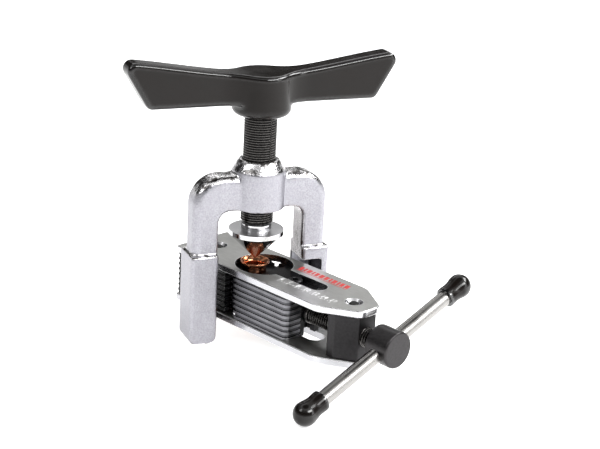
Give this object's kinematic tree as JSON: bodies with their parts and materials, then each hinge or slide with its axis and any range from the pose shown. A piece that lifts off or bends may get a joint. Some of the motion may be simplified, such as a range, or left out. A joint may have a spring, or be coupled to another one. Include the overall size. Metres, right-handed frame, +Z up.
{
  "type": "tube flaring tool",
  "caption": "Hand flaring tool: laminated V jaws clamp a copper tube between two plates, and a T-handled screw in a yoke drives a cone into its mouth.",
  "frame": {"origin": "on the axis of the clamped tube and of the feed screw, at floor level", "axes": "+X along the clamp body towards the clamp screw's knob, +Y across the body, +Z up along the tube axis"},
  "size_m": [0.1705, 0.1602, 0.177],
  "materials": {
    "plate_steel": "satin zinc-plated faces, bright edges",
    "lamina_steel": "hardened grey steel strip, light cut edges",
    "spacer_steel": "dark, oiled",
    "rivet_steel": "bright",
    "black_oxide": "black oxide, satin",
    "yoke_chrome": "chromed forging, satin faces with bright rounded edges",
    "cone_chrome": "polished",
    "handle_plastic": "glossy black",
    "bar_steel": "bright ground bar",
    "cap_rubber": "glossy black vinyl",
    "copper": "bright drawn copper"
  },
  "bodies": {
    "clamp_frame": {"top_plate": "plate_steel", "bottom_plate": "plate_steel", "end_block": "black_oxide", "front_rivets": "rivet_steel", "rear_rivet": "rivet_steel", "fixed_jaw_dowels": "rivet_steel", "fixed_lamina_1": "lamina_steel", "fixed_lamina_2": "lamina_steel", "fixed_lamina_3": "lamina_steel", "fixed_lamina_4": "lamina_steel", "fixed_lamina_5": "lamina_steel", "fixed_lamina_6": "lamina_steel", "fixed_lamina_7": "lamina_steel", "fixed_lamina_8": "lamina_steel", "fixed_spacer_1": "spacer_steel", "fixed_spacer_2": "spacer_steel", "fixed_spacer_3": "spacer_steel", "fixed_spacer_4": "spacer_steel", "fixed_spacer_5": "spacer_steel", "fixed_spacer_6": "spacer_steel", "fixed_spacer_7": "spacer_steel", "fixed_spacer_8": "spacer_steel", "copper_tube": "copper"},
    "yoke": {"yoke": "yoke_chrome"},
    "flaring_cone": {"flaring_cone": "cone_chrome", "cone_retaining_ring": "rivet_steel", "thrust_ball": "rivet_steel"},
    "feed_screw": {"spindle": "black_oxide", "t_handle": "handle_plastic"},
    "sliding_jaw": {"moving_lamina_1": "lamina_steel", "moving_lamina_2": "lamina_steel", "moving_lamina_3": "lamina_steel", "moving_lamina_4": "lamina_steel", "moving_lamina_5": "lamina_steel", "moving_lamina_6": "lamina_steel", "moving_lamina_7": "lamina_steel", "moving_lamina_8": "lamina_steel", "moving_spacer_1": "spacer_steel", "moving_spacer_2": "spacer_steel", "moving_spacer_3": "spacer_steel", "moving_spacer_4": "spacer_steel", "moving_spacer_5": "spacer_steel", "moving_spacer_6": "spacer_steel", "moving_spacer_7": "spacer_steel", "moving_spacer_8": "spacer_steel", "moving_jaw_rivets": "rivet_steel", "jaw_carrier": "black_oxide", "index_screw": "black_oxide"},
    "clamp_screw": {"clamp_screw": "black_oxide", "clamp_knob": "black_oxide"},
    "tommy_bar": {"tommy_bar": "bar_steel", "lower_bar_cap": "cap_rubber", "upper_bar_cap": "cap_rubber"}
  },
  "joints": [
    {"name": "yoke_turn", "type": "hinge", "parent": "clamp_frame", "child": "yoke", "pos_m": [0, 0, 0], "axis": [0, 0, 1], "range_deg": [-19, 22]},
    {"name": "cone_feed", "type": "slide", "parent": "yoke", "child": "flaring_cone", "axis": [0, 0, 1], "range_m": [-0.0092, 0.0138]},
    {"name": "spindle_turn", "type": "hinge", "parent": "flaring_cone", "child": "feed_screw", "pos_m": [0, 0, 0], "axis": [0, 0, 1], "range_deg": [-2206, 3310]},
    {"name": "jaw_slide", "type": "slide", "parent": "clamp_frame", "child": "sliding_jaw", "axis": [1, 0, 0], "range_m": [0, 0.012]},
    {"name": "clamp_screw_turn", "type": "hinge", "parent": "sliding_jaw", "child": "clamp_screw", "pos_m": [0, 0, 0.03035], "axis": [1, 0, 0], "range_deg": [0, 2468]},
    {"name": "tommy_bar_slide", "type": "slide", "parent": "clamp_screw", "child": "tommy_bar", "axis": [0, 0.9397, 0.342], "range_m": [-0.04, 0.043]}
  ],
  "couplings": [
    {"joint": "cone_feed", "follows": "spindle_turn", "m_per_rad": 0.00023873},
    {"joint": "jaw_slide", "follows": "clamp_screw_turn", "m_per_rad": 0.00027852}
  ]
}
